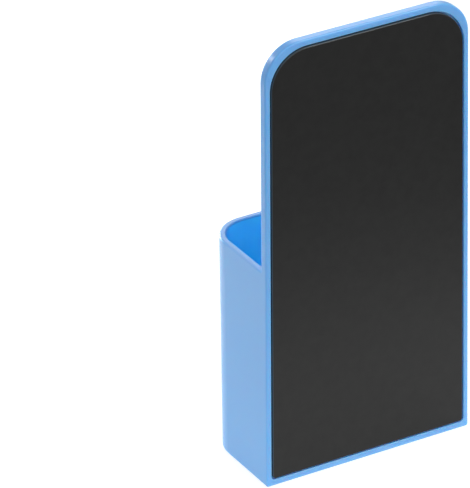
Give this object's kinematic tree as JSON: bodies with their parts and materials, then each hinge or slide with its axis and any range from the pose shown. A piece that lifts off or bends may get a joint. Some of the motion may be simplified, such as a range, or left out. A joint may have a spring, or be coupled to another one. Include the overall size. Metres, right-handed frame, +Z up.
{
  "type": "magnetic pen holder",
  "caption": "Open-topped pen pocket moulded onto a tall round-cornered back plate, with a flexible magnet sheet bonded into its back to hold it on steel.",
  "frame": {"origin": "bottom centre of the object's box, in the middle of the foot that it stands on", "axes": "+Z up along the back plate, +Y out of the magnet's face towards the steel it grips, +X across the holder"},
  "size_m": [0.075, 0.0384, 0.1533],
  "materials": {
    "blue_plastic": "satin",
    "adhesive": "matte",
    "ferrite_rubber": "matte"
  },
  "bodies": {
    "root": {"holder_body": "blue_plastic", "adhesive_film": "adhesive", "magnet_sheet": "ferrite_rubber"}
  },
  "joints": []
}
